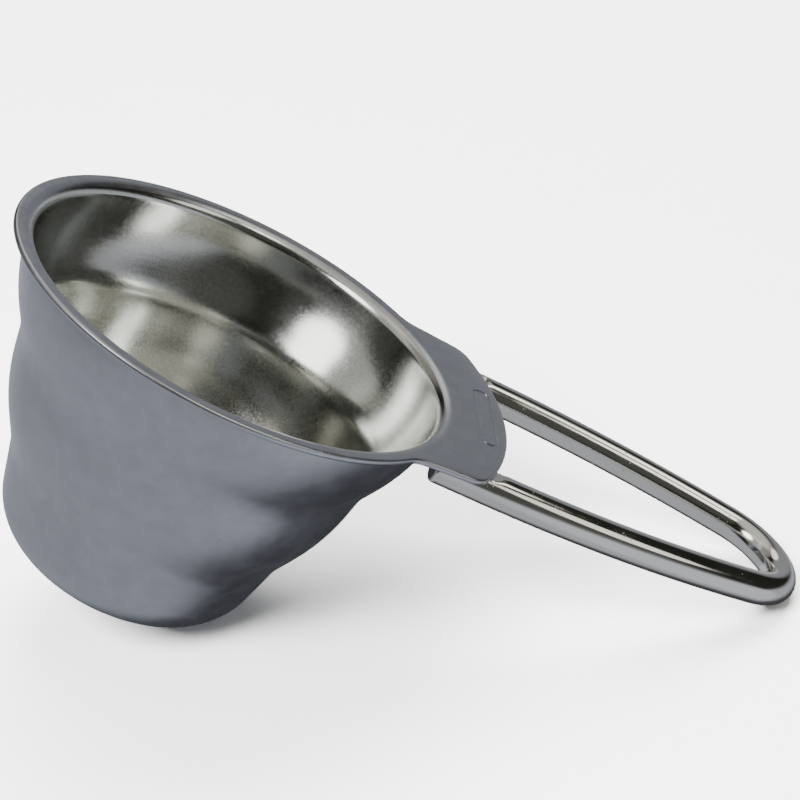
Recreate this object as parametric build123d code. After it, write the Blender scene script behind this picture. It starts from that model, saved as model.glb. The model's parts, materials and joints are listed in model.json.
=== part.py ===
from build123d import *
import os
from math import asin, atan2, copysign, cos, degrees, hypot, radians, sin, sqrt, tan

# A stainless steel measuring scoop, lying as it does on a table: on the rounded
# corner of its bowl and on the bow of its wire handle.
#
# Every piece is drawn in the bowl's own axes, with zero at the middle of the mouth,
# level with the top of the rim, the bowl below it and the handle along +X.
# The last functions tip it over onto the table.
# Sizes are millimetres and angles are degrees.

# Sheet bowl
sheet = 0.8
rim_diameter = 60.0
rim_edge_round = 0.32
flange_width = 1.94            # from the wall's outer face out to the rim's edge
mouth_bend_radius = 1.0        # under the flange

# The wall goes in and down from the flange in five straight faces with bends
# between them, so that it bulges three times and has two valleys around it.
# Each row is a face of the wall's outside: its step inward, its height, and the
# radius of the bend at its foot.
wall_faces = [
    (0.74, 5.6, 22.0),         # upper tier, steep down to its knee
    (3.26, 6.3, 10.0),         # upper tier, slope into the first valley
    (1.18, 7.7, 25.0),         # middle tier, steep down to its knee
    (3.60, 7.4, 10.0),         # middle tier, slope into the second valley
    (3.00, 12.8, 8.0),         # lower tier, down to the base
]

# Tab that the handle is welded to, cut in one with the flange
tab_length = 6.5               # from the rim's edge to the tab's curved end
tab_root_half_width = 19.4
tab_side_angle = 8.0           # each side of the tab leans in by this much
tab_corner_radius = 3.2
tab_root_radius = 4.0

# Plain oval ring stamped into the tab
stamp_length = 15.0
stamp_width = 2.6
stamp_line = 0.4
stamp_depth = 0.12
stamp_setback = 1.8            # from the tab's end to the ring

# Wire handle, with its lengths taken on the wire's centre line
wire_diameter = 4.4
leg_spacing = 27.2
handle_length = 49.7           # from the rim's edge to the middle of the bow
bow_radius = 8.4
wire_end_clearance = 0.9       # from the mouth's bend to the wire's free ends
wire_end_bevel = 0.45
seat_depth = 0.5               # flat pressed into the wire under the tab
seat_overrun = 0.4             # how far that flat runs on past the tab's end

# Weld beads, one along each side of each leg
weld_length = 4.6
weld_setback = 1.5             # from the tab's end
weld_width = 0.8               # across the tab's underside
weld_wrap = 52.0               # how far round the wire from its top

rim_radius = rim_diameter / 2
wire_radius = wire_diameter / 2
tab_reach = rim_radius + tab_length
handle_reach = rim_radius + handle_length
wire_depth = sheet + wire_radius - seat_depth
leg_offset = leg_spacing / 2
leg_at_tab_end = sqrt(tab_reach**2 - leg_offset**2)


def wall_corners():
    """Corners of the sheet's lower face, from the flange in and down to the axis."""
    corner = Vector(rim_radius - flange_width, -sheet)
    corners = [Vector(rim_radius - flange_width / 4, -sheet), corner]
    for inward, down, _ in wall_faces:
        corner = corner - Vector(inward, down)
        corners.append(corner)
    return corners + [Vector(0, corner.Y)]


def bend_radii():
    """Radius of the sheet's lower face at each bend, from the flange to the base."""
    return [mouth_bend_radius] + [radius for _, _, radius in wall_faces]


def beside(points, gap):
    """The line through points, moved over by gap to the right as it runs."""
    runs = [(b - a).normalized() for a, b in zip(points, points[1:])]
    sides = [Vector(run.Y, -run.X) for run in runs]
    moved = []
    for point, before, after in zip(points, sides[:1] + sides, sides + sides[-1:]):
        moved.append(point + (before + after) * (gap / (1 + before.dot(after))))
    return moved


def turns(points):
    """For each inner point, 1 where the line turns left and -1 where it turns right."""
    runs = [b - a for a, b in zip(points, points[1:])]
    return [copysign(1, a.cross(b).Z) for a, b in zip(runs, runs[1:])]


def drawn_bowl():
    """The bowl and the inner part of the flange, as sheet turned about the axis."""
    lower_face = wall_corners()
    lower_radii = bend_radii()
    upper_radii = [r + sheet * turn for r, turn in zip(lower_radii, turns(lower_face))]
    lower = FilletPolyline(*lower_face, radius=lower_radii)
    upper = FilletPolyline(*beside(lower_face, sheet), radius=upper_radii)
    ends = [Line(lower @ 0, upper @ 0), Line(lower @ 1, upper @ 1)]
    section = make_face([*lower.edges(), *upper.edges(), *ends])
    return revolve(Plane.XZ * section, Axis.Z, 360)


def flat_blank():
    """Outline of the flange and tab before the bowl is drawn."""
    root_x = sqrt(rim_radius**2 - tab_root_half_width**2)
    narrowing = tan(radians(tab_side_angle))
    past_end = tab_reach + 1
    half_width_at_axis = tab_root_half_width + root_x * narrowing
    half_width_past_end = tab_root_half_width - (past_end - root_x) * narrowing
    wedge = Polygon(
        (0, -half_width_at_axis),
        (past_end, -half_width_past_end),
        (past_end, half_width_past_end),
        (0, half_width_at_axis),
        align=None,
    )
    tab = wedge & Circle(tab_reach)
    tab = fillet([v for v in tab.vertices() if v.X > rim_radius], tab_corner_radius)
    blank = Circle(rim_radius) + tab
    roots = [v for v in blank.vertices() if abs(hypot(v.X, v.Y) - rim_radius) < 0.01]
    return fillet([v for v in roots if v.X > root_x / 2], tab_root_radius)


def flange_and_tab():
    """The flat ring around the mouth with the tab on it, its edges rounded."""
    plate = extrude(Pos(0, 0, -sheet) * flat_blank(), sheet)
    faces = plate.faces().sort_by(Axis.Z)
    plate = fillet([*faces[0].edges(), *faces[-1].edges()], rim_edge_round)
    opening = Cylinder(rim_radius - flange_width / 4, 4 * sheet)
    return plate - opening


def stamp():
    """Oval ring that is cut into the top of the tab, across it near its end."""
    inside = SlotOverall(stamp_length - 2 * stamp_line, stamp_width - 2 * stamp_line)
    ring = Rot(0, 0, 90) * (SlotOverall(stamp_length, stamp_width) - inside)
    middle = tab_reach - stamp_setback - stamp_width / 2
    return extrude(Pos(middle, 0, -stamp_depth) * ring, 2 * stamp_depth)


def scoop_bowl():
    """The whole pressed sheet piece: bowl, flange and tab."""
    return drawn_bowl() + flange_and_tab() - stamp()


def handle_path():
    """Centre line of the wire, from one free end round the bow to the other."""
    bend_start = rim_radius - flange_width + mouth_bend_radius
    free_end = sqrt(bend_start**2 - leg_offset**2) + wire_end_clearance
    bow_centre = handle_reach - bow_radius
    bow_run = bow_centre - leg_at_tab_end
    # Each leg is one arc, tangent to its straight end and to the bow.
    leg_radius = (bow_run**2 + leg_offset**2 - bow_radius**2) / (2 * (leg_offset - bow_radius))
    leg_turn = asin(bow_run / (leg_radius - bow_radius))

    def on_leg(turn):
        x = leg_at_tab_end + leg_radius * sin(turn)
        y = leg_offset - leg_radius * (1 - cos(turn))
        return Vector(x, y, -wire_depth)

    end, start = Vector(free_end, leg_offset, -wire_depth), on_leg(0)
    half_way, bow_start = on_leg(leg_turn / 2), on_leg(leg_turn)
    leg = [Line(end, start), ThreePointArc(start, half_way, bow_start)]
    other_leg = [edge.mirror(Plane.XZ) for edge in leg]
    bow_end = Vector(bow_start.X, -bow_start.Y, bow_start.Z)
    bow = ThreePointArc(bow_start, Vector(handle_reach, 0, -wire_depth), bow_end)
    return Wire([*leg, bow, *other_leg])


def wire_handle():
    """Round wire bent into a loop, with a flat on its legs where the tab sits."""
    path = handle_path()
    section = Plane(origin=path @ 0, z_dir=path % 0) * Circle(wire_radius)
    wire = sweep(section, path=path)
    ends = wire.faces().filter_by(GeomType.PLANE).edges()
    wire = chamfer(ends, wire_end_bevel)
    seat = Pos(0, 0, -sheet) * Cylinder(
        tab_reach + seat_overrun, wire_radius, align=(Align.CENTER, Align.CENTER, Align.MIN)
    )
    return wire - seat


def weld(side, wire):
    """Two beads along one leg, in the corners between the wire and the tab."""
    seat_half_width = sqrt(wire_radius**2 - (wire_radius - seat_depth) ** 2)
    flank = radians(weld_wrap)
    flank_y = wire_radius * sin(flank)
    flank_z = wire_radius * cos(flank) - wire_depth
    outer_y = seat_half_width + weld_width
    section = Polyline(
        (0, seat_half_width, -sheet),
        (0, outer_y, -sheet),
        (0, flank_y, flank_z),
        (0, seat_half_width, flank_z),
        close=True,
    )
    bead = extrude(make_face(section.edges()), weld_length, dir=(1, 0, 0))
    start = leg_at_tab_end - weld_setback - weld_length
    pair = bead + bead.mirror(Plane.XZ)
    return Pos(start, side * leg_offset, 0) * pair - wire


def lean():
    """Angle that the scoop tips through to rest on its base corner and its bow."""
    inward, down, corner_radius = wall_faces[-1]
    corner = wall_corners()[-2]
    half_turn = (radians(90) - atan2(inward, down)) / 2
    corner_x = corner.X - corner_radius * tan(half_turn)
    corner_z = corner.Y + corner_radius
    run = handle_reach - corner_x
    rise = -wire_depth - corner_z
    return degrees(atan2(rise, run) + asin((corner_radius - wire_radius) / hypot(run, rise)))


def main():
    bowl = scoop_bowl()
    handle = wire_handle()
    pieces = {
        "scoop_bowl": bowl,
        "wire_handle": handle,
        "weld_left": weld(1, handle),
        "weld_right": weld(-1, handle),
    }
    tipped = {name: Rot(0, lean(), 0) * piece for name, piece in pieces.items()}
    boxes = [piece.bounding_box() for piece in tipped.values()]
    middle = (min(box.min.X for box in boxes) + max(box.max.X for box in boxes)) / 2
    lowest = min(box.min.Z for box in boxes)
    to_table = Pos(-middle, 0, -lowest)
    os.makedirs("parts", exist_ok=True)
    for name, piece in tipped.items():
        export_step(to_table * piece, f"parts/{name}.step")


main()
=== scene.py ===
"""Looks of a stainless steel measuring scoop with a pressed bowl and a bent wire handle.

Each new piece is drawn in the bowl's own axes, with zero at the middle of the mouth,
level with the top of the rim, the bowl below it and the handle along +X. It is then
tipped over onto the table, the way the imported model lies.
"""

import json
import math
from functools import partial

import bmesh
import bpy
from bmesh.types import BMEdge, BMVert
from bpy.props import FloatProperty, FloatVectorProperty, IntProperty, PointerProperty
from mathutils import Euler, Matrix, Vector, noise


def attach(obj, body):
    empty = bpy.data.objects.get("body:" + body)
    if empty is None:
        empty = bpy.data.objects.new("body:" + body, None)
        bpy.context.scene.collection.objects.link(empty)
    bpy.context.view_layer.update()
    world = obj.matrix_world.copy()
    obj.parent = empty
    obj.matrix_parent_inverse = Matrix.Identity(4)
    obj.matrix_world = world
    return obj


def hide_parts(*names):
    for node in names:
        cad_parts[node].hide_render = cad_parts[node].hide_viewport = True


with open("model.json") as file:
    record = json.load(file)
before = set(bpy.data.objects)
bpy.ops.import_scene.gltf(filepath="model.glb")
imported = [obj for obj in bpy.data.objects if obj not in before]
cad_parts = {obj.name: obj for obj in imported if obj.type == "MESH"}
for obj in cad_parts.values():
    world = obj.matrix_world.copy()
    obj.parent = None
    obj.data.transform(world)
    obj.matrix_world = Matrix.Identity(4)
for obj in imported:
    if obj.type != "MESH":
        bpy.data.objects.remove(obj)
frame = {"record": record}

bl_info = {
    "name": "Measuring scoop workshop",
    "version": (1, 0, 0),
    "blender": (4, 5, 0),
    "location": "3D View > Sidebar > Scoop",
    "description": "Builds the pressed bowl, wire handle, welds and studio of a steel measuring scoop",
    "category": "Add Mesh",
}

MM = 0.001
BODY = "root"


def linear(hex_colour):
    """Linear RGB of an sRGB colour written as #rrggbb."""
    channels = [int(hex_colour[i:i + 2], 16) / 255 for i in (1, 3, 5)]
    return tuple(c / 12.92 if c <= 0.04045 else ((c + 0.055) / 1.055) ** 2.4 for c in channels)


# ---------------------------------------------------------------- sizes and colours


class BowlSizes(bpy.types.PropertyGroup):
    """Sizes of the pressed sheet piece."""

    sheet: FloatProperty(name="Sheet", description="Thickness of the sheet",
                         default=0.8 * MM, unit="LENGTH", precision=4)
    rim_diameter: FloatProperty(name="Rim diameter", description="Outer diameter of the flange",
                                default=60 * MM, unit="LENGTH", precision=4)
    flange_width: FloatProperty(name="Flange width", description="From the wall out to the rim's edge",
                                default=1.94 * MM, unit="LENGTH", precision=4)
    mouth_bend: FloatProperty(name="Mouth bend", description="Radius under the flange, where the wall starts",
                              default=1.0 * MM, unit="LENGTH", precision=4)
    edge_round: FloatProperty(name="Edge round", description="Rounding of the sheet's cut edge",
                              default=0.32 * MM, unit="LENGTH", precision=4)
    tab_length: FloatProperty(name="Tab length", description="From the rim's edge to the tab's curved end",
                              default=6.5 * MM, unit="LENGTH", precision=4)
    tab_half_width: FloatProperty(name="Tab half width", description="Half its width where it leaves the rim",
                                  default=19.4 * MM, unit="LENGTH", precision=4)
    tab_taper: FloatProperty(name="Tab taper", description="Angle that each side of the tab leans in by",
                             default=math.radians(8), unit="ROTATION")
    tab_corner: FloatProperty(name="Tab corner", description="Radius of the tab's outer corners",
                              default=3.2 * MM, unit="LENGTH", precision=4)
    tab_root: FloatProperty(name="Tab root", description="Radius of the hollow corners beside the rim",
                            default=4 * MM, unit="LENGTH", precision=4)
    around: IntProperty(name="Steps around", description="Faces around the bowl", default=360, min=48)


class WireSizes(bpy.types.PropertyGroup):
    """Sizes of the bent wire handle, with its lengths on the wire's centre line."""

    diameter: FloatProperty(name="Wire diameter", description="Diameter of the round wire",
                            default=4.4 * MM, unit="LENGTH", precision=4)
    leg_spacing: FloatProperty(name="Leg spacing", description="Between the two legs under the tab",
                               default=27.2 * MM, unit="LENGTH", precision=4)
    length: FloatProperty(name="Handle length", description="From the rim's edge to the middle of the bow",
                          default=49.7 * MM, unit="LENGTH", precision=4)
    bow_radius: FloatProperty(name="Bow radius", description="Radius of the bow at the far end",
                              default=8.4 * MM, unit="LENGTH", precision=4)
    end_gap: FloatProperty(name="End gap", description="From the mouth's bend to the wire's free ends",
                           default=0.9 * MM, unit="LENGTH", precision=4)
    seat_depth: FloatProperty(name="Seat depth", description="Flat pressed into the legs under the tab",
                              default=0.5 * MM, unit="LENGTH", precision=4)
    seat_overrun: FloatProperty(name="Seat overrun", description="How far the flat runs past the tab's end",
                                default=0.4 * MM, unit="LENGTH", precision=4)
    end_round: FloatProperty(name="End round", description="Rounding of the cropped ends",
                             default=0.45 * MM, unit="LENGTH", precision=4)
    around: IntProperty(name="Steps around", description="Faces around the wire", default=56, min=12)


class WeldSizes(bpy.types.PropertyGroup):
    """Sizes of the weld beads beside each leg of the wire."""

    length: FloatProperty(name="Bead length", description="Length of each bead along the leg",
                          default=4.6 * MM, unit="LENGTH", precision=4)
    setback: FloatProperty(name="Setback", description="From the tab's end to the bead",
                           default=1.5 * MM, unit="LENGTH", precision=4)
    radius: FloatProperty(name="Bead radius", description="Radius of the bead before it is sunk",
                          default=0.52 * MM, unit="LENGTH", precision=4)
    ripple: FloatProperty(name="Ripple pitch", description="Distance from one ripple of the bead to the next",
                          default=0.55 * MM, unit="LENGTH", precision=4)


class SteelColours(bpy.types.PropertyGroup):
    """Colours of the steel as it is finished in each place."""

    satin: FloatVectorProperty(name="Satin sheet", description="Tumbled outside, flange and tab",
                               subtype="COLOR", size=3, default=linear("#b9bbc1"), min=0, max=1)
    polished: FloatVectorProperty(name="Polished sheet", description="Inside of the bowl",
                                  subtype="COLOR", size=3, default=linear("#d4d5d0"), min=0, max=1)
    wire: FloatVectorProperty(name="Drawn wire", description="Polished wire of the handle",
                              subtype="COLOR", size=3, default=linear("#e2e0dc"), min=0, max=1)
    heat_tint: FloatVectorProperty(name="Heat tint", description="Straw brown that welding leaves",
                                   subtype="COLOR", size=3, default=linear("#8a6f58"), min=0, max=1)
    table: FloatVectorProperty(name="Table", description="Pale studio floor",
                               subtype="COLOR", size=3, default=linear("#f8f8f7"), min=0, max=1)


def sizes():
    """The four property groups of this scene: bowl, wire, weld and steel."""
    scene = bpy.context.scene
    return scene.scoop_bowl_sizes, scene.scoop_wire_sizes, scene.scoop_weld_sizes, scene.scoop_steel


# ---------------------------------------------------------------- the bowl's own axes

# The wall's faces from the flange down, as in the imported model: step inward, height
# and the radius of the bend at the foot, in millimetres.
WALL_FACES = (
    (0.74, 5.6, 22.0),
    (3.26, 6.3, 10.0),
    (1.18, 7.7, 25.0),
    (3.60, 7.4, 10.0),
    (3.00, 12.8, 8.0),
)


def bowl_height(bowl):
    """From the top of the rim to the underside of the base."""
    return bowl.sheet + sum(down for _, down, _ in WALL_FACES) * MM


def bowl_axes(bowl):
    """Matrix that takes the bowl's own axes to the table, worked out from the base mount."""
    base = frame["record"]["mounts"][0]
    down = Vector(base["axis"])
    middle_of_mouth = Vector(base["pos_m"]) - down * bowl_height(bowl)
    lean = math.atan2(-down.x, -down.z)
    return Matrix.Translation(middle_of_mouth) @ Matrix.Rotation(lean, 4, "Y")


# ---------------------------------------------------------------- materials


def shade(colour, share=1.0):
    """The colour for a node's input, lighter or darker by a share."""
    return (*(min(1, channel * share) for channel in colour), 1)


def set_inputs(node, inputs):
    """Sets inputs of a node, by name or number, each to a value or to what another node gives."""
    for name, source in inputs.items():
        if isinstance(source, bpy.types.Node):
            source = next(output for output in source.outputs if output.enabled)
        if isinstance(source, bpy.types.NodeSocket):
            node.id_data.links.new(source, node.inputs[name])
        else:
            node.inputs[name].default_value = source


def add_node(tree, kind, inputs, **settings):
    """Adds a shader node with its settings and its inputs."""
    node = tree.nodes.new(kind)
    for name, value in settings.items():
        setattr(node, name, value)
    set_inputs(node, inputs)
    return node


def new_material(name, inputs):
    """A material, its shader, and a function that adds nodes beside it."""
    material = bpy.data.materials.new(name)
    material.use_nodes = True
    shader = material.node_tree.nodes["Principled BSDF"]
    set_inputs(shader, inputs)
    return material, shader, partial(add_node, material.node_tree)


def bowl_coordinates(add, axes):
    """Object coordinates, as they are and turned back into the bowl's own axes."""
    place = add("ShaderNodeTexCoord", {}).outputs["Object"]
    to_bowl = axes.inverted()
    turned = add("ShaderNodeMapping", {
        "Vector": place, "Location": to_bowl.translation, "Rotation": to_bowl.to_euler()})
    return place, turned


def ring_coordinates(add, turned):
    """Distance from the bowl's axis and height, for a pattern that runs in rings around the bowl."""
    parts = add("ShaderNodeSeparateXYZ", {"Vector": turned})
    flat = add("ShaderNodeCombineXYZ", {"X": parts.outputs["X"], "Y": parts.outputs["Y"]})
    from_axis = add("ShaderNodeVectorMath", {"Vector": flat}, operation="LENGTH")
    return add("ShaderNodeCombineXYZ", {"X": from_axis, "Y": parts.outputs["Z"]})


def tumbled_satin_steel(steel, axes):
    """304 sheet, deep drawn and then tumbled with fine stone.

    It gives a soft grey with broad, blurred highlights. The grain is fine and even, with
    faint bands around the bowl from the draw, cloudy patches and a few hairline scratches.
    """
    material, shader, add = new_material("tumbled_satin_304_sheet", {
        "Base Color": shade(steel.satin), "Metallic": 1, "Roughness": 0.36})
    place, turned = bowl_coordinates(add, axes)
    clouds = add("ShaderNodeTexNoise", {"Vector": place, "Scale": 1 / (9 * MM), "Detail": 3})
    blotches = add("ShaderNodeTexNoise", {
        "Vector": place, "Scale": 1 / (2.2 * MM), "Detail": 2, "Distortion": 0.4})
    # The stone's real scratches are about 0.05 mm apart, and are drawn at 0.22 mm so that they show.
    stone = add("ShaderNodeTexNoise", {
        "Vector": place, "Scale": 1 / (0.22 * MM), "Detail": 3, "Roughness": 0.65})
    draw_rings = add("ShaderNodeTexNoise", {
        "Vector": ring_coordinates(add, turned), "Scale": 1 / (0.5 * MM), "Detail": 2})

    # Hairlines: where a stretched noise passes through its middle value, in a few places only.
    slanted = add("ShaderNodeMapping", {
        "Vector": turned, "Rotation": (0.5, 0.3, 0.9), "Scale": (0.25, 1.0, 0.55)})
    wander = add("ShaderNodeTexNoise", {
        "Vector": slanted, "Scale": 1 / (4.5 * MM), "Detail": 0, "Distortion": 0.6})
    off_middle = add("ShaderNodeMath", {0: wander, 1: 0.5}, operation="SUBTRACT")
    distance = add("ShaderNodeMath", {0: off_middle}, operation="ABSOLUTE")
    hairline = add("ShaderNodeMapRange", {"Value": distance, "From Max": 0.0016, "To Min": 1, "To Max": 0})
    places = add("ShaderNodeTexNoise", {"Vector": place, "Scale": 1 / (5 * MM), "Detail": 1})
    rare = add("ShaderNodeMapRange", {"Value": places, "From Min": 0.56, "From Max": 0.62})
    scratch = add("ShaderNodeMath", {0: hairline, 1: rare}, operation="MULTIPLY")

    cloud_rough = add("ShaderNodeMapRange", {
        "Value": clouds, "From Min": 0.35, "From Max": 0.65, "To Min": 0.27, "To Max": 0.36})
    blotch_rough = add("ShaderNodeMapRange", {
        "Value": blotches, "From Min": 0.3, "From Max": 0.7, "To Min": -0.02, "To Max": 0.02})
    roughness = add("ShaderNodeMath", {0: cloud_rough, 1: blotch_rough}, operation="ADD")
    tone = add("ShaderNodeMapRange", {"Value": blotches, "From Min": 0.3, "From Max": 0.7})
    colour = add("ShaderNodeMix", {
        "Factor": tone, "A": shade(steel.satin, 0.94), "B": shade(steel.satin, 1.05)}, data_type="RGBA")

    rough_skin = add("ShaderNodeBump", {"Height": stone, "Strength": 0.15, "Distance": 0.02 * MM})
    ringed = add("ShaderNodeBump", {
        "Height": draw_rings, "Normal": rough_skin, "Strength": 0.10, "Distance": 0.03 * MM})
    scratched = add("ShaderNodeBump", {
        "Height": scratch, "Normal": ringed, "Strength": 0.35, "Distance": 0.02 * MM}, invert=True)
    set_inputs(shader, {"Base Color": colour, "Roughness": roughness, "Normal": scratched})
    return material


def polished_draw_steel(steel, axes):
    """304 sheet, polished by the punch inside the bowl.

    It gives a soft mirror that bends the room around the bowl, a little grainy close
    to, with fine rings from the draw and small dull specks.
    """
    material, shader, add = new_material("punch_polished_304_sheet", {
        "Base Color": shade(steel.polished), "Metallic": 1, "Roughness": 0.16})
    place, turned = bowl_coordinates(add, axes)
    patches = add("ShaderNodeTexNoise", {"Vector": place, "Scale": 1 / (6 * MM), "Detail": 3})
    # Orange peel of the stretched sheet: grains of 0.35 mm.
    peel = add("ShaderNodeTexNoise", {
        "Vector": place, "Scale": 1 / (0.35 * MM), "Detail": 3, "Roughness": 0.6})
    rings = add("ShaderNodeTexNoise", {
        "Vector": ring_coordinates(add, turned), "Scale": 1 / (0.8 * MM), "Detail": 2})
    waves = add("ShaderNodeTexNoise", {"Vector": place, "Scale": 1 / (5 * MM), "Detail": 1})

    base_rough = add("ShaderNodeMapRange", {
        "Value": patches, "From Min": 0.35, "From Max": 0.65, "To Min": 0.14, "To Max": 0.19})
    peel_rough = add("ShaderNodeMapRange", {
        "Value": peel, "From Min": 0.3, "From Max": 0.7, "To Min": -0.02, "To Max": 0.04})
    roughness = add("ShaderNodeMath", {0: base_rough, 1: peel_rough}, operation="ADD")
    tone = add("ShaderNodeMapRange", {"Value": peel, "From Min": 0.3, "From Max": 0.7})
    colour = add("ShaderNodeMix", {
        "Factor": tone, "A": shade(steel.polished, 0.9), "B": shade(steel.polished, 1.06)}, data_type="RGBA")

    peeled = add("ShaderNodeBump", {"Height": peel, "Strength": 0.16, "Distance": 0.02 * MM})
    ringed = add("ShaderNodeBump", {
        "Height": rings, "Normal": peeled, "Strength": 0.12, "Distance": 0.04 * MM})
    waved = add("ShaderNodeBump", {
        "Height": waves, "Normal": ringed, "Strength": 0.15, "Distance": 0.12 * MM})
    set_inputs(shader, {"Base Color": colour, "Roughness": roughness, "Normal": waved})
    return material


def polished_wire_steel(steel, axes):
    """304 wire, drawn round and then polished.

    It gives bright, sharp streaks along the wire, broken by drawing lines, pits and small dull specks.
    """
    material, shader, add = new_material("polished_304_wire", {
        "Base Color": shade(steel.wire), "Metallic": 1, "Roughness": 0.12})
    place, turned = bowl_coordinates(add, axes)
    # Drawing lines: noise stretched along the handle, 0.3 mm across and 12 mm long.
    along = add("ShaderNodeMapping", {"Vector": turned, "Scale": (0.025, 1, 1)})
    lines = add("ShaderNodeTexNoise", {"Vector": along, "Scale": 1 / (0.3 * MM), "Detail": 2})
    patches = add("ShaderNodeTexNoise", {"Vector": place, "Scale": 1 / (3.5 * MM), "Detail": 3})
    cells = add("ShaderNodeTexVoronoi", {"Vector": place, "Scale": 1 / (0.9 * MM)}, feature="F1")
    pit = add("ShaderNodeMapRange", {
        "Value": cells, "From Min": 0.07, "From Max": 0.13, "To Min": 1, "To Max": 0})
    where = add("ShaderNodeMapRange", {"Value": patches, "From Min": 0.52, "From Max": 0.6})
    pitted = add("ShaderNodeMath", {0: pit, 1: where}, operation="MULTIPLY")

    base_rough = add("ShaderNodeMapRange", {
        "Value": patches, "From Min": 0.35, "From Max": 0.65, "To Min": 0.07, "To Max": 0.15})
    roughness = add("ShaderNodeMath", {0: pitted, 1: 0.35, 2: base_rough}, operation="MULTIPLY_ADD")
    colour = add("ShaderNodeMix", {
        "Factor": pitted, "A": shade(steel.wire), "B": shade(steel.wire, 0.55)}, data_type="RGBA")

    lined = add("ShaderNodeBump", {"Height": lines, "Strength": 0.10, "Distance": 0.02 * MM})
    sunk = add("ShaderNodeBump", {
        "Height": pitted, "Normal": lined, "Strength": 0.5, "Distance": 0.03 * MM}, invert=True)
    set_inputs(shader, {"Base Color": colour, "Roughness": roughness, "Normal": sunk})
    return material


def cropped_wire_end(steel, axes):
    """End of the wire as the cropping tool leaves it.

    It gives a dull, dark face with the torn lines of the shear running one way.
    """
    material, shader, add = new_material("cropped_304_wire_end", {
        "Base Color": shade(steel.wire, 0.45), "Metallic": 1, "Roughness": 0.5})
    _, turned = bowl_coordinates(add, axes)
    across = add("ShaderNodeMapping", {"Vector": turned, "Scale": (1, 0.12, 1)})
    tears = add("ShaderNodeTexNoise", {
        "Vector": across, "Scale": 1 / (0.14 * MM), "Detail": 3, "Roughness": 0.7})
    roughness = add("ShaderNodeMapRange", {
        "Value": tears, "From Min": 0.3, "From Max": 0.7, "To Min": 0.38, "To Max": 0.62})
    colour = add("ShaderNodeMix", {
        "Factor": tears, "A": shade(steel.wire, 0.3), "B": shade(steel.wire, 0.6)}, data_type="RGBA")
    torn = add("ShaderNodeBump", {"Height": tears, "Strength": 0.5, "Distance": 0.05 * MM})
    set_inputs(shader, {"Base Color": colour, "Roughness": roughness, "Normal": torn})
    return material


def heat_tinted_weld(steel):
    """Weld metal, left as it froze.

    It gives small dull ripples, straw and brown from the heat with bluish patches, and a scaly skin.
    """
    material, shader, add = new_material("heat_tinted_weld_bead", {
        "Base Color": shade(steel.heat_tint), "Metallic": 1, "Roughness": 0.45})
    place = add("ShaderNodeTexCoord", {}).outputs["Object"]
    heat = add("ShaderNodeTexNoise", {"Vector": place, "Scale": 1 / (1.3 * MM), "Detail": 2})
    scale = add("ShaderNodeTexNoise", {
        "Vector": place, "Scale": 1 / (0.16 * MM), "Detail": 3, "Roughness": 0.65})
    warm = add("ShaderNodeMapRange", {"Value": heat, "From Min": 0.35, "From Max": 0.6})
    roughness = add("ShaderNodeMapRange", {
        "Value": scale, "From Min": 0.3, "From Max": 0.7, "To Min": 0.35, "To Max": 0.6})
    colour = add("ShaderNodeMix", {
        "Factor": warm, "A": shade(linear("#6f7280")), "B": shade(steel.heat_tint)}, data_type="RGBA")
    skin = add("ShaderNodeBump", {"Height": scale, "Strength": 0.35, "Distance": 0.04 * MM})
    set_inputs(shader, {"Base Color": colour, "Roughness": roughness, "Normal": skin})
    return material


def painted_table(steel):
    """Smooth matt painted board: even and pale, with a faint mottle so that it isn't a flat colour."""
    material, shader, add = new_material("matt_painted_board", {"Roughness": 0.85, "Specular IOR Level": 0.2})
    place = add("ShaderNodeTexCoord", {}).outputs["Object"]
    mottle = add("ShaderNodeTexNoise", {"Vector": place, "Scale": 1 / (40 * MM), "Detail": 2})
    tone = add("ShaderNodeMapRange", {"Value": mottle, "From Min": 0.3, "From Max": 0.7})
    colour = add("ShaderNodeMix", {
        "Factor": tone, "A": shade(steel.table, 0.985), "B": shade(steel.table)}, data_type="RGBA")
    set_inputs(shader, {"Base Color": colour})
    return material


# ---------------------------------------------------------------- mesh helpers


def only(kinds, items):
    """The points, edges or both among mixed parts of a mesh."""
    return [item for item in items if isinstance(item, kinds)]


def turn_out(bm):
    """Merges doubled points and points every face outwards."""
    bmesh.ops.remove_doubles(bm, verts=bm.verts, dist=0.001 * MM)
    bmesh.ops.recalc_face_normals(bm, faces=bm.faces)


def mark_smooth(bm, crease=math.radians(32)):
    """Shades the faces smooth, with a crisp line wherever they meet at more than the crease angle."""
    for face in bm.faces:
        face.smooth = True
    for edge in bm.edges:
        edge.smooth = len(edge.link_faces) == 2 and edge.calc_face_angle(0) < crease


def finish_piece(bm, name, axes, materials, slot, *nodes):
    """Makes the mesh an object on the table that stands for CAD nodes."""
    bmesh.ops.transform(bm, matrix=axes, verts=bm.verts)
    mark_smooth(bm)
    mesh = bpy.data.meshes.new(name)
    bm.to_mesh(mesh)
    bm.free()
    for material in materials:
        mesh.materials.append(material)
    piece = bpy.data.objects.new(name, mesh)
    bpy.context.collection.objects.link(piece)
    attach(piece, BODY)
    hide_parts(*nodes)
    return piece


def draw_on(bm, tip, target, steps=1):
    """Runs a straight line of edges from a point to a place, and returns its last point."""
    step = (target - tip.co) / steps
    for _ in range(steps):
        grown = bmesh.ops.extrude_vert_indiv(bm, verts=[tip])
        tip = grown["verts"][0]
        tip.co += step
    return tip


# ---------------------------------------------------------------- pressed bowl


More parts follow.
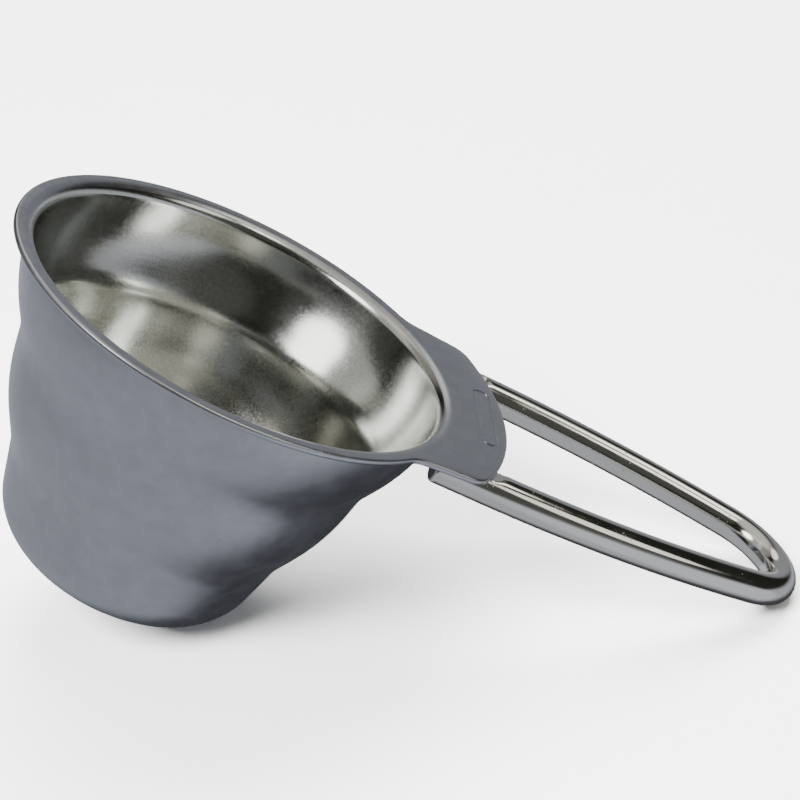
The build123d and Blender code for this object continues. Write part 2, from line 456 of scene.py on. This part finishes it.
def wall_section(bm, bowl):
    """Half section of the sheet's lower face, from the rim in and down to the axis."""
    corner = Vector((bowl.rim_diameter / 2 - bowl.flange_width, 0, -bowl.sheet))
    corners = [Vector((bowl.rim_diameter / 2, 0, -bowl.sheet)), corner]
    for inward, down, _ in WALL_FACES:
        corner = corner - Vector((inward, 0, down)) * MM
        corners.append(corner)
    corners.append(Vector((0, 0, corner.z)))
    radii = [bowl.mouth_bend] + [radius * MM for _, _, radius in WALL_FACES]
    tip = bm.verts.new(corners[0])
    flange_rows, face_rows, base_rows = 2, 4, 6
    least_rows, row_turn = 5, math.radians(3)
    for before, bend, after, radius in zip(corners, corners[1:], corners[2:], radii):
        way_in, way_out = (bend - before).normalized(), (after - bend).normalized()
        turn = way_in.angle(way_out)
        side = way_in.cross(way_out).normalized()
        to_centre = side.cross(way_in) * radius
        start = bend - way_in * radius * math.tan(turn / 2)
        tip = draw_on(bm, tip, start, flange_rows if before is corners[0] else face_rows)
        spun = bmesh.ops.spin(bm, geom=[tip], cent=start + to_centre, axis=side, angle=turn,
                              steps=max(least_rows, round(turn / row_turn)))
        tip = spun["geom_last"][0]
    draw_on(bm, tip, corners[-1], base_rows)


def tab_reach(bowl):
    """From the bowl's axis to the tab's curved end."""
    return bowl.rim_diameter / 2 + bowl.tab_length


def tab_outline(bowl, angle):
    """How far the edge of the flange or tab is from the bowl's axis, in a direction from +X."""
    angle = abs(angle)
    rim = bowl.rim_diameter / 2
    along = Vector((math.cos(bowl.tab_taper), -math.sin(bowl.tab_taper)))
    outward = Vector((-along.y, along.x))
    root = Vector((math.sqrt(rim**2 - bowl.tab_half_width**2), bowl.tab_half_width))
    side = root.dot(outward)

    def on_circle(centre_side, centre_distance):
        return outward * centre_side + along * math.sqrt(centre_distance**2 - centre_side**2)

    corner = on_circle(side - bowl.tab_corner, tab_reach(bowl) - bowl.tab_corner)
    hollow = on_circle(side + bowl.tab_root, rim + bowl.tab_root)
    ray = Vector((math.cos(angle), math.sin(angle)))

    def bearing(point):
        return math.atan2(point.y, point.x)

    def hit(centre, radius, way):
        middle = centre.dot(ray)
        return middle + way * math.sqrt(max(0, radius**2 - centre.length_squared + middle**2))

    if angle < bearing(corner):
        return tab_reach(bowl)
    if angle < bearing(corner + outward * bowl.tab_corner):
        return hit(corner, bowl.tab_corner, 1)
    if angle < bearing(hollow - outward * bowl.tab_root):
        return side / outward.dot(ray)
    if angle < bearing(hollow):
        return hit(hollow, bowl.tab_root, -1)
    return rim


def pull_out_tab(bm, bowl):
    """Stretches the flange's rows out to the tab's edge, and leaves the rest round."""
    rim = bowl.rim_diameter / 2
    flat_start = rim - bowl.flange_width + bowl.mouth_bend
    for vert in bm.verts:
        reach = math.hypot(vert.co.x, vert.co.y)
        if reach > flat_start:
            share = (reach - flat_start) / (rim - flat_start)
            edge = tab_outline(bowl, math.atan2(vert.co.y, vert.co.x))
            wanted = flat_start + share * (edge - flat_start)
            vert.co.x *= wanted / reach
            vert.co.y *= wanted / reach


def oval_stamp(bowl, axes):
    """Closed ring that is cut from the tab's top: a plain oval line across it, near its end."""
    length, width, line, depth, setback = (v * MM for v in (15.0, 2.6, 0.4, 0.12, 1.8))
    end_radius = width / 2
    straight = length - width
    bm = bmesh.new()
    ring = bmesh.ops.create_circle(bm, segments=48, radius=end_radius)["verts"]
    # Each half of the circle moves out along Y, and the two points between the halves stay.
    for vert in ring:
        if abs(vert.co.y) > 1e-7:
            vert.co.y += math.copysign(straight / 2, vert.co.y)
    face = bm.faces.new(ring)
    bm.normal_update()
    bmesh.ops.inset_region(bm, faces=[face], thickness=line, use_boundary=True, use_even_offset=True)
    bmesh.ops.delete(bm, geom=[face], context="FACES")
    grown = bmesh.ops.extrude_face_region(bm, geom=bm.faces[:])
    bmesh.ops.translate(bm, vec=(0, 0, 2 * depth), verts=only(BMVert, grown["geom"]))
    bmesh.ops.recalc_face_normals(bm, faces=bm.faces)
    bmesh.ops.translate(bm, vec=(tab_reach(bowl) - setback - end_radius, 0, -depth), verts=bm.verts)
    bmesh.ops.transform(bm, matrix=axes, verts=bm.verts)
    mesh = bpy.data.meshes.new("oval_stamp")
    bm.to_mesh(mesh)
    bm.free()
    cutter = bpy.data.objects.new("oval_stamp", mesh)
    bpy.context.collection.objects.link(cutter)
    return cutter


def stamp_tab(piece, cutter):
    """Cuts the stamp into the bowl's mesh and removes the cutter."""
    cut = piece.modifiers.new("stamp", "BOOLEAN")
    cut.operation = "DIFFERENCE"
    cut.solver = "EXACT"
    cut.object = cutter
    bpy.context.view_layer.update()
    done = bpy.data.meshes.new_from_object(piece.evaluated_get(bpy.context.evaluated_depsgraph_get()))
    piece.modifiers.clear()
    piece.data = done
    bpy.data.objects.remove(cutter)
    bm = bmesh.new()
    bm.from_mesh(done)
    mark_smooth(bm)
    bm.to_mesh(done)
    bm.free()


def finish_of_face(face):
    """Material index of a face of the bowl: 1 inside it, from below the mouth's bend, else 0."""
    wall_starts, slopes_start = -0.5 * MM, -2 * MM
    faces_in, faces_up = 0.6, 0.2
    middle = face.calc_center_median()
    inward = Vector((-middle.x, -middle.y, 0)).normalized()
    wall_inside = face.normal.dot(inward) > faces_in and middle.z < wall_starts
    base_inside = face.normal.z > faces_up and middle.z < slopes_start
    return 1 if wall_inside or base_inside else 0


def press_bowl(bowl):
    """Bowl, flange and tab from one sheet: turned, pulled out to the tab, thickened and edge rounded."""
    bm = bmesh.new()
    wall_section(bm, bowl)
    bmesh.ops.spin(bm, geom=bm.verts[:] + bm.edges[:], cent=(0, 0, 0), axis=(0, 0, 1),
                   angle=math.tau, steps=bowl.around, use_merge=True)
    bmesh.ops.remove_doubles(bm, verts=bm.verts, dist=0.002 * MM)
    pull_out_tab(bm, bowl)
    bmesh.ops.recalc_face_normals(bm, faces=bm.faces)
    lowest = min(bm.faces, key=lambda face: face.calc_center_median().z)
    if lowest.normal.z > 0:
        bmesh.ops.reverse_faces(bm, faces=bm.faces)
    bmesh.ops.solidify(bm, geom=bm.faces[:], thickness=bowl.sheet)
    flat_start = bowl.rim_diameter / 2 - bowl.flange_width + bowl.mouth_bend
    square_corner = math.radians(60)
    cut_edge = [
        edge for edge in bm.edges
        if edge.calc_face_angle(0) > square_corner and edge.verts[0].co.xy.length > flat_start
    ]
    bmesh.ops.bevel(bm, geom=cut_edge, offset=bowl.edge_round, segments=4, profile=0.5,
                    affect="EDGES", material=-1)
    for face in bm.faces:
        face.material_index = finish_of_face(face)
    return bm


# ---------------------------------------------------------------- bent wire


def wire_depth(bowl, wire):
    """From the top of the rim down to the wire's centre line."""
    return bowl.sheet + wire.diameter / 2 - wire.seat_depth


def leg_at_tab_end(bowl, wire):
    """Where each leg passes under the tab's end, along the handle."""
    return math.sqrt(tab_reach(bowl)**2 - (wire.leg_spacing / 2) ** 2)


def handle_reach(bowl, wire):
    """From the bowl's axis to the middle of the bow, on the wire's centre line."""
    return bowl.rim_diameter / 2 + wire.length


def bend_wire(bowl, wire):
    """One leg and half the bow of the wire, swept, seated and mirrored, with rounded cropped ends."""
    leg_y = wire.leg_spacing / 2
    depth = wire_depth(bowl, wire)
    straight_end = leg_at_tab_end(bowl, wire)
    mouth_bend_start = bowl.rim_diameter / 2 - bowl.flange_width + bowl.mouth_bend
    free_end = math.sqrt(mouth_bend_start**2 - leg_y**2) + wire.end_gap
    bow_centre = handle_reach(bowl, wire) - wire.bow_radius
    bow_run = bow_centre - straight_end
    leg_radius = (bow_run**2 + leg_y**2 - wire.bow_radius**2) / (2 * (leg_y - wire.bow_radius))
    leg_turn = math.asin(bow_run / (leg_radius - wire.bow_radius))

    bm = bmesh.new()
    facing = Matrix.Translation((free_end, leg_y, -depth)) @ Matrix.Rotation(math.pi / 2, 4, "Y")
    bmesh.ops.create_circle(bm, segments=wire.around, radius=wire.diameter / 2, matrix=facing)
    ring = bm.verts[:] + bm.edges[:]
    row = 0.55 * MM
    leg_rows, half_bow_rows = 72, 30
    rows = round((straight_end - free_end) / row)
    for _ in range(rows):
        grown = bmesh.ops.extrude_edge_only(bm, edges=only(BMEdge, ring))
        ring = only((BMVert, BMEdge), grown["geom"])
        bmesh.ops.translate(bm, vec=((straight_end - free_end) / rows, 0, 0), verts=only(BMVert, ring))
    spun = bmesh.ops.spin(bm, geom=ring, cent=(straight_end, leg_y - leg_radius, -depth), axis=(0, 0, -1),
                          angle=leg_turn, steps=leg_rows)
    leg_end = only((BMVert, BMEdge), spun["geom_last"])
    bmesh.ops.spin(bm, geom=leg_end, cent=(bow_centre, 0, -depth), axis=(0, 0, -1),
                   angle=math.pi / 2 - leg_turn, steps=half_bow_rows)

    # The seat is pressed flat as far as the tab's end, and the round wire comes back past it.
    seat_reach = tab_reach(bowl) + wire.seat_overrun
    run_out = 0.8 * MM
    for vert in bm.verts:
        past = math.hypot(vert.co.x, vert.co.y) - seat_reach
        flat = -bowl.sheet + wire.seat_depth * min(1, max(0, past / run_out)) ** 2
        if past < run_out and vert.co.z > flat:
            vert.co.z = flat

    free_edges = [edge for edge in bm.edges if edge.is_boundary and edge.verts[0].co.x < free_end + row / 2]
    bmesh.ops.edgeloop_fill(bm, edges=free_edges)
    bmesh.ops.bevel(bm, geom=free_edges, offset=wire.end_round, segments=4, profile=0.5,
                    affect="EDGES", material=-1)
    cropped_face = max(bm.faces, key=lambda face: len(face.verts))
    cropped_face.material_index = 1
    half = bm.verts[:] + bm.edges[:] + bm.faces[:]
    bmesh.ops.mirror(bm, geom=half, matrix=Matrix.Identity(4), merge_dist=0.002 * MM, axis="Y")
    turn_out(bm)
    return bm


# ---------------------------------------------------------------- weld beads


def weld_beads(bowl, wire, weld, side):
    """The pair of beads in the corners beside one leg, rippled as they froze and flat against the sheet."""
    blunt_power, full_power, pole = 0.8, 6, 0.9999
    ripple_height, lump_height = 0.05, 0.10
    lumps_per_metre, lumps_across = 900, 1.3
    out_of_corner, below_sheet = 0.22 * MM, 0.12 * MM
    leg_y = side * wire.leg_spacing / 2
    middle = leg_at_tab_end(bowl, wire) - weld.setback - weld.length / 2
    wire_radius = wire.diameter / 2
    seat_half_width = math.sqrt(wire_radius**2 - (wire_radius - wire.seat_depth) ** 2)
    pair = bmesh.new()
    for way in (-1, 1):
        bm = bmesh.new()
        along = Matrix.Rotation(math.pi / 2, 4, "Y")
        bmesh.ops.create_uvsphere(bm, u_segments=28, v_segments=56, radius=1, matrix=along)
        for vert in bm.verts:
            # The ball is drawn out to the bead's length and keeps its width until near its ends.
            share = vert.co.x
            x = math.copysign(abs(share) ** blunt_power, share) * weld.length / 2
            width = 0
            if abs(share) < pole:
                width = weld.radius * math.sqrt((1 - abs(share) ** full_power) / (1 - share**2))
            ripple = 1 + ripple_height * math.cos(math.tau * x / weld.ripple)
            own_lumps = Vector((x * lumps_per_metre, vert.co.y * lumps_across + way * 7, side * 5))
            lump = 1 + lump_height * noise.noise(own_lumps)
            vert.co = Vector((x, vert.co.y * width * ripple * lump, vert.co.z * width * ripple * lump))
        corner = Vector((middle, leg_y + way * (seat_half_width + out_of_corner), -bowl.sheet - below_sheet))
        bmesh.ops.translate(bm, vec=corner, verts=bm.verts)
        cut = bmesh.ops.bisect_plane(bm, geom=bm.verts[:] + bm.edges[:] + bm.faces[:], dist=1e-7,
                                     plane_co=(0, 0, -bowl.sheet), plane_no=(0, 0, 1), clear_outer=True)
        bmesh.ops.edgeloop_fill(bm, edges=only(BMEdge, cut["geom_cut"]))
        turn_out(bm)
        held = bpy.data.meshes.new("bead")
        bm.to_mesh(held)
        bm.free()
        pair.from_mesh(held)
        bpy.data.meshes.remove(held)
    return pair


# ---------------------------------------------------------------- studio

# Soft patches of light in the studio's sky: direction as azimuth (0 is +X, 90 is +Y) and
# elevation, the half angles of its bright middle and of its soft edge, strength and colour.
# The last one has a negative strength and darkens the sky, as the scoop's own shade on the table does.
SKY_PATCHES = (
    ("key_window", -134, 46, 11, 17, 5.0, "#ffffff"),
    ("left_wall", -162, 45, 18, 34, 0.50, "#f4f4ee"),
    ("ceiling", 20, 82, 16, 46, 0.70, "#fffdf2"),
    ("rear_ceiling", 140, 50, 12, 30, 0.30, "#fffdf2"),
    ("side_window", -27, 27, 10, 15, 1.5, "#fffaf0"),
    ("strip_lamp_front", -42, 50, 6, 11, 2.6, "#fffaf0"),
    ("strip_lamp_rear", 2, 50, 6, 11, 2.6, "#fffaf0"),
    ("front_right_wall", -55, 22, 16, 34, 0.07, "#eef0ea"),
    ("table_right", -45, -28, 18, 42, 0.24, "#e8ecf4"),
    ("back_lamp", 90, 40, 8, 16, 1.5, "#fffdf4"),
    ("back_wall", 72, 14, 14, 34, 0.34, "#e8ecf4"),
    ("left_card", 165, 16, 14, 34, 0.14, "#e8ecf4"),
    ("rear_table", 105, -12, 14, 30, 0.20, "#e8ecf4"),
    ("scoop_shade", 64, -55, 18, 49, -0.57, "#dde1ea"),
)

# Square area lamps: place and side in metres, and power in watts.
SOFTBOXES = (
    ("key_softbox", (-0.31, -0.37, 0.50), 0.30, 20.0),
    ("fill_softbox", (0.1, 0.5, 0.9), 0.8, 42.0),
)
TABLE_HALF_WIDTH = 3.0

# The camera looks at a place given in the bowl's own axes, and its angles are in degrees.
LENS_MM = 78.46
SENSOR_MM = 36.0
CAMERA_AZIMUTH = -2.183
CAMERA_ELEVATION = 26.977
CAMERA_ROLL = 0.221
CAMERA_TARGET = Vector((20.87 * MM, -6.23 * MM, 0))
CAMERA_DISTANCE = 212.99 * MM


def studio_sky():
    """World of soft patches of light on a dark room, with a pale table below, for the steel to reflect."""
    world = bpy.data.worlds.new("studio_sky")
    bpy.context.scene.world = world
    world.use_nodes = True
    add = partial(add_node, world.node_tree)
    direction = add("ShaderNodeTexCoord", {}).outputs["Generated"]
    height = add("ShaderNodeSeparateXYZ", {"Vector": direction}).outputs["Z"]
    above_table = add("ShaderNodeMapRange", {"Value": height, "From Min": -0.16, "From Max": 0.02})
    table, room = shade(linear("#dde1ea"), 0.66), shade(linear("#262723"))
    total = add("ShaderNodeMix", {"Factor": above_table, "A": table, "B": room}, data_type="RGBA")
    for name, azimuth, elevation, core, edge, strength, colour in SKY_PATCHES:
        azimuth, elevation = math.radians(azimuth), math.radians(elevation)
        towards = Vector((math.cos(azimuth) * math.cos(elevation), math.sin(azimuth) * math.cos(elevation),
                          math.sin(elevation)))
        facing = add("ShaderNodeVectorMath", {0: direction, 1: towards}, operation="DOT_PRODUCT", label=name)
        glow = add("ShaderNodeMapRange", {
            "Value": facing, "From Min": math.cos(math.radians(edge)),
            "From Max": math.cos(math.radians(core)), "To Max": strength}, interpolation_type="SMOOTHERSTEP")
        patch = add("ShaderNodeVectorMath", {0: glow, 1: linear(colour)}, operation="MULTIPLY")
        total = add("ShaderNodeVectorMath", {0: total, 1: patch}, operation="ADD")
    set_inputs(world.node_tree.nodes["Background"], {"Color": total})


def softbox(name, place, side, power, target):
    """A white square area lamp that looks at a target and stays out of reflections."""
    lamp = bpy.data.lights.new(name, "AREA")
    lamp.shape = "SQUARE"
    lamp.size = side
    lamp.energy = power
    lit = bpy.data.objects.new(name, lamp)
    bpy.context.collection.objects.link(lit)
    lit.location = place
    lit.rotation_euler = (target - lit.location).to_track_quat("-Z", "Y").to_euler()
    lit.visible_glossy = False


def lay_table(steel):
    """The pale board that the scoop lies on."""
    bm = bmesh.new()
    bmesh.ops.create_grid(bm, x_segments=8, y_segments=8, size=TABLE_HALF_WIDTH)
    mesh = bpy.data.meshes.new("table")
    bm.to_mesh(mesh)
    bm.free()
    mesh.materials.append(painted_table(steel))
    table = bpy.data.objects.new("table", mesh)
    bpy.context.collection.objects.link(table)
    # The steel mirrors the table tone of the sky instead, which is darker than this board.
    table.visible_glossy = False


def stand_camera(scene, axes):
    """The camera, turned about its target and tilted by its roll."""
    camera = bpy.data.cameras.new("camera")
    camera.lens = LENS_MM
    camera.sensor_width = SENSOR_MM
    camera.clip_start = 0.01
    viewer = bpy.data.objects.new("camera", camera)
    bpy.context.collection.objects.link(viewer)
    azimuth, elevation, roll = map(math.radians, (CAMERA_AZIMUTH, CAMERA_ELEVATION, CAMERA_ROLL))
    turn = Euler((math.pi / 2 - elevation, 0, azimuth)).to_matrix() @ Matrix.Rotation(roll, 3, "Z")
    place = axes @ CAMERA_TARGET + turn @ Vector((0, 0, CAMERA_DISTANCE))
    viewer.matrix_world = Matrix.Translation(place) @ turn.to_4x4()
    scene.camera = viewer


# ---------------------------------------------------------------- operators


class SCOOP_OT_pressed_bowl(bpy.types.Operator):
    """Press the bowl with its flange and tab, and stamp the oval into the tab"""

    bl_idname = "scoop.pressed_bowl"
    bl_label = "Press bowl"

    def execute(self, context):
        bowl, _, _, steel = sizes()
        axes = bowl_axes(bowl)
        materials = [tumbled_satin_steel(steel, axes), polished_draw_steel(steel, axes)]
        piece = finish_piece(press_bowl(bowl), "pressed_bowl", axes, materials, "sheet_steel", "scoop_bowl")
        stamp_tab(piece, oval_stamp(bowl, axes))
        return {"FINISHED"}


class SCOOP_OT_bent_wire(bpy.types.Operator):
    """Bend the wire handle and crop its ends"""

    bl_idname = "scoop.bent_wire"
    bl_label = "Bend wire"

    def execute(self, context):
        bowl, wire, _, steel = sizes()
        axes = bowl_axes(bowl)
        materials = [polished_wire_steel(steel, axes), cropped_wire_end(steel, axes)]
        finish_piece(bend_wire(bowl, wire), "bent_wire", axes, materials, "wire_steel", "wire_handle")
        return {"FINISHED"}


class SCOOP_OT_weld_beads(bpy.types.Operator):
    """Lay the weld beads beside both legs of the wire"""

    bl_idname = "scoop.weld_beads"
    bl_label = "Weld legs"

    def execute(self, context):
        bowl, wire, weld, steel = sizes()
        axes = bowl_axes(bowl)
        metal = heat_tinted_weld(steel)
        for name, node, side in (("weld_beads_left", "weld_left", 1), ("weld_beads_right", "weld_right", -1)):
            beads = weld_beads(bowl, wire, weld, side)
            finish_piece(beads, name, axes, [metal], "weld_steel", node)
        return {"FINISHED"}


class SCOOP_OT_studio(bpy.types.Operator):
    """Lay the pale table, light the scene and set up the camera"""

    bl_idname = "scoop.studio"
    bl_label = "Set up studio"

    def execute(self, context):
        bowl, _, _, steel = sizes()
        axes = bowl_axes(bowl)
        lay_table(steel)
        studio_sky()
        for name, place, side, power in SOFTBOXES:
            softbox(name, place, side, power, axes.translation)
        stand_camera(context.scene, axes)
        return {"FINISHED"}


class SCOOP_PT_workshop(bpy.types.Panel):
    """Lists the scoop's pieces and their sizes"""

    bl_label = "Measuring scoop"
    bl_idname = "SCOOP_PT_workshop"
    bl_space_type = "VIEW_3D"
    bl_region_type = "UI"
    bl_category = "Scoop"

    def draw(self, context):
        for group, operator in zip(sizes(), OPERATORS):
            column = self.layout.column(align=True)
            for name in group.__annotations__:
                column.prop(group, name)
            column.operator(operator.bl_idname)


GROUPS = {
    "scoop_bowl_sizes": BowlSizes,
    "scoop_wire_sizes": WireSizes,
    "scoop_weld_sizes": WeldSizes,
    "scoop_steel": SteelColours,
}
OPERATORS = (SCOOP_OT_pressed_bowl, SCOOP_OT_bent_wire, SCOOP_OT_weld_beads, SCOOP_OT_studio)


def register():
    """Registers the property groups, operators and panel."""
    for cls in (*GROUPS.values(), *OPERATORS, SCOOP_PT_workshop):
        bpy.utils.register_class(cls)
    for name, group in GROUPS.items():
        setattr(bpy.types.Scene, name, PointerProperty(type=group))


def unregister():
    """Removes what register added."""
    for name in GROUPS:
        delattr(bpy.types.Scene, name)
    for cls in reversed((*GROUPS.values(), *OPERATORS, SCOOP_PT_workshop)):
        bpy.utils.unregister_class(cls)


def main():
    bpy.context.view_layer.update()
    register()
    bpy.ops.scoop.pressed_bowl()
    bpy.ops.scoop.bent_wire()
    bpy.ops.scoop.weld_beads()
    bpy.ops.scoop.studio()


if __name__ == "__main__":
    main()
